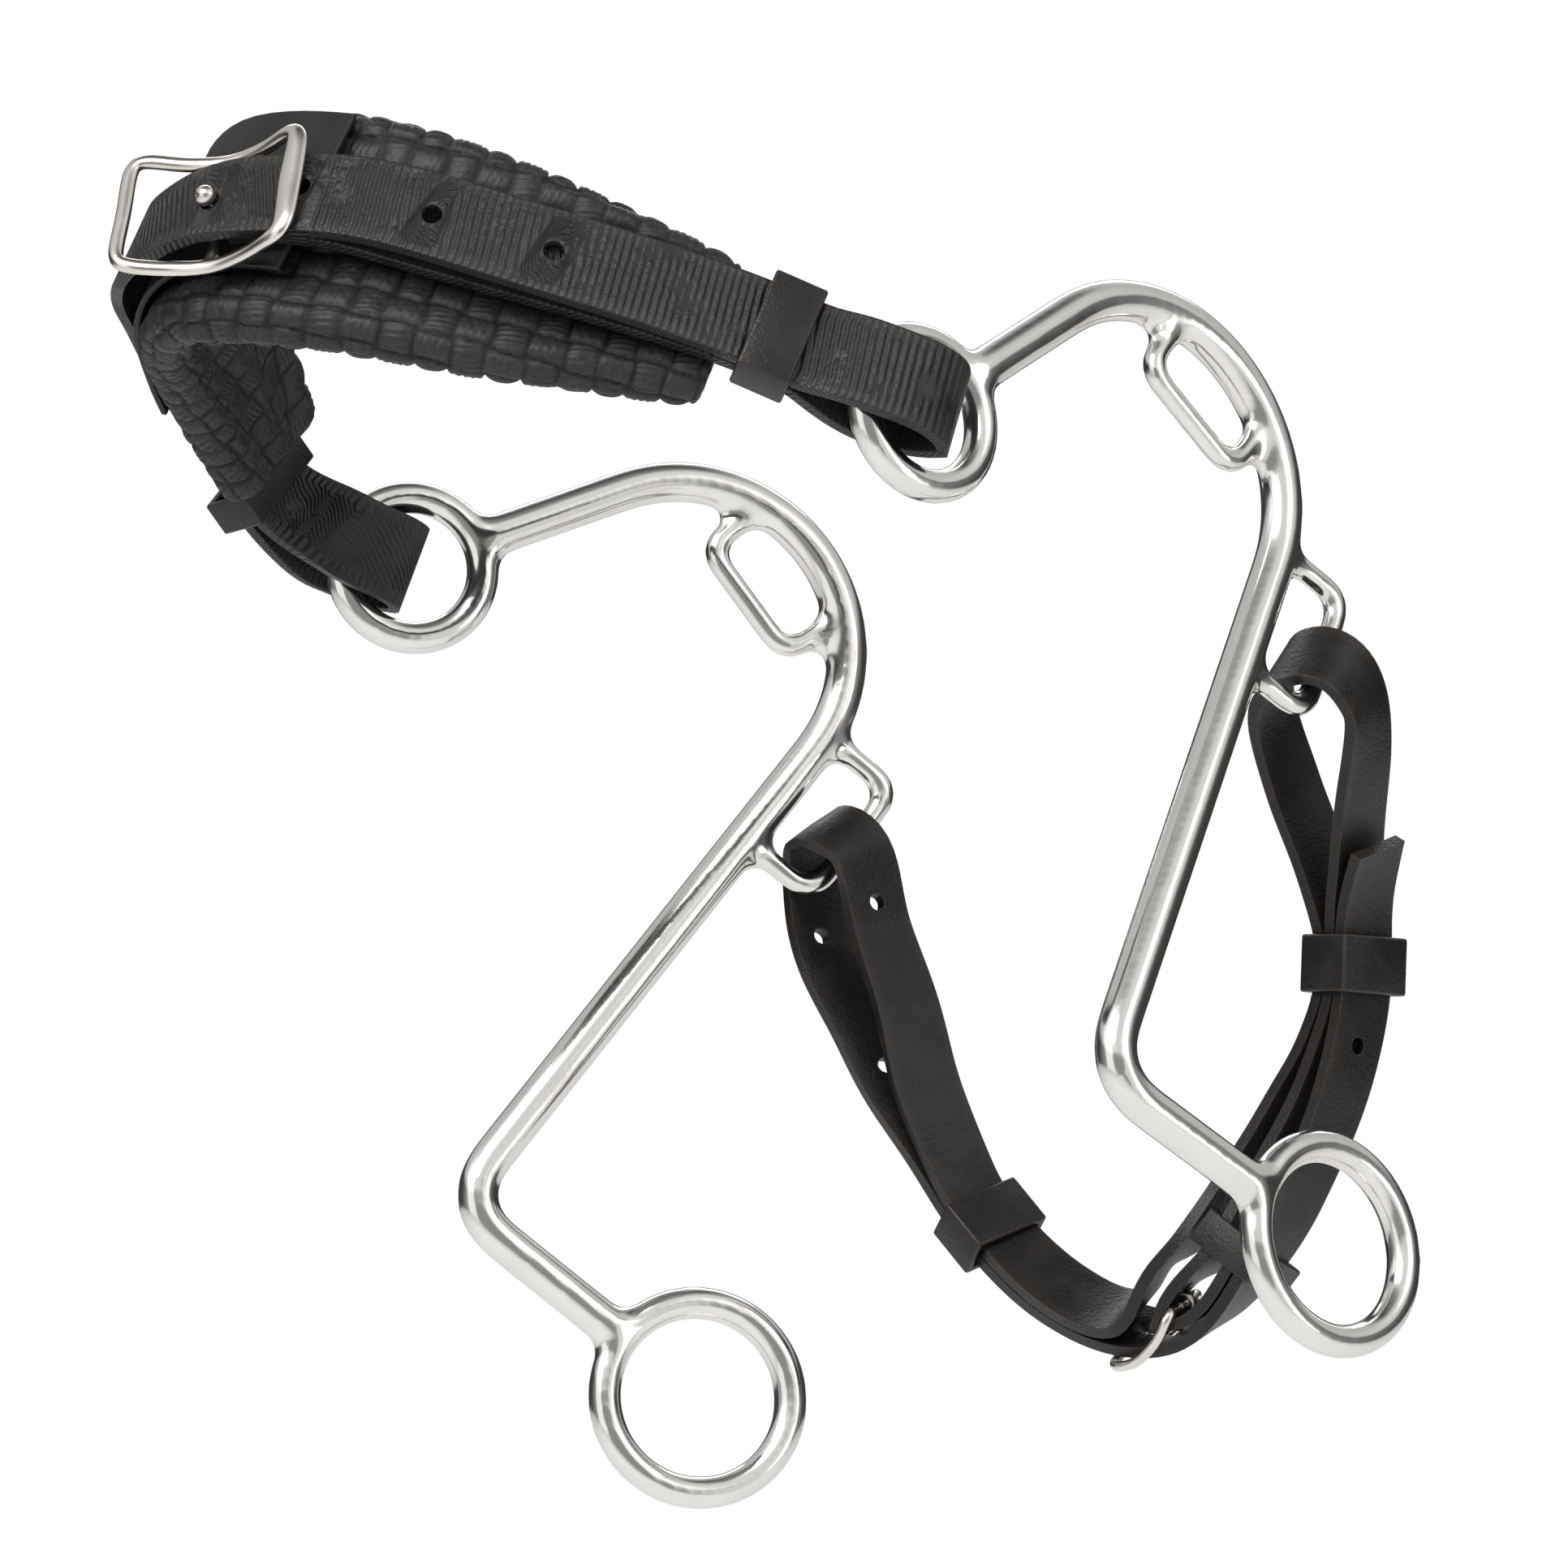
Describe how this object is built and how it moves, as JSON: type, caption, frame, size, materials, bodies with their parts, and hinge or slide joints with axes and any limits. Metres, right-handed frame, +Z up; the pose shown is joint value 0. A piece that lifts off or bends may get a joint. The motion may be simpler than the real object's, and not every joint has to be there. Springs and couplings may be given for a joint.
{
  "type": "bitless hackamore",
  "caption": "Bitless hackamore: steel shanks with rein rings and strap slots, a braided padded noseband with a stud buckle, and a buckled curb strap.",
  "frame": {"origin": "middle of the noseband pad's inner face, where it rests on the bridge of the nose", "axes": "+Z up on a level head; +X to the right seen from the near side; +Y away from the near side"},
  "size_m": [0.3101, 0.1818, 0.3347],
  "materials": {
    "polished_steel": "polished",
    "buckle_steel": "polished",
    "braided_leather": "satin",
    "ribbed_leather": "satin",
    "lining_leather": "matt",
    "strap_leather": "semi-gloss"
  },
  "bodies": {
    "noseband": {"noseband_pad": "braided_leather", "noseband_patch": "lining_leather", "conway_frame": "buckle_steel", "conway_stud": "buckle_steel", "noseband_strap": "ribbed_leather", "noseband_near_keeper": "strap_leather", "noseband_far_keeper": "strap_leather"},
    "near_shank": {"near_cheek_bar": "polished_steel", "near_nose_ring": "polished_steel", "near_rein_ring": "polished_steel", "near_bridle_slot": "polished_steel", "near_curb_slot": "polished_steel"},
    "far_shank": {"far_cheek_bar": "polished_steel", "far_nose_ring": "polished_steel", "far_rein_ring": "polished_steel", "far_bridle_slot": "polished_steel", "far_curb_slot": "polished_steel"},
    "curb_strap": {"curb_strap": "strap_leather", "curb_far_keeper": "strap_leather", "curb_near_keeper": "strap_leather", "curb_fixed_keeper": "strap_leather", "curb_buckle_frame": "buckle_steel", "curb_buckle_tongue": "buckle_steel"}
  },
  "joints": [
    {"name": "rein_lever", "type": "hinge", "parent": "noseband", "child": "near_shank", "pos_m": [0.1511, -0.0213, -0.0405], "axis": [0.6825, -0.7084, 0.1797], "range_deg": [-12, 20]},
    {"name": "far_lever", "type": "hinge", "parent": "noseband", "child": "far_shank", "pos_m": [0.0273, 0.1072, -0.0731], "axis": [0.6825, -0.7084, 0.1797], "range_deg": [-12, 20]},
    {"name": "curb_swing", "type": "hinge", "parent": "near_shank", "child": "curb_strap", "pos_m": [0.24773, 0.04309, -0.09611], "axis": [0.7811, -0.5398, 0.3137], "range_deg": [-2, 5]}
  ],
  "couplings": [
    {"joint": "far_lever", "follows": "rein_lever", "ratio": 1}
  ]
}
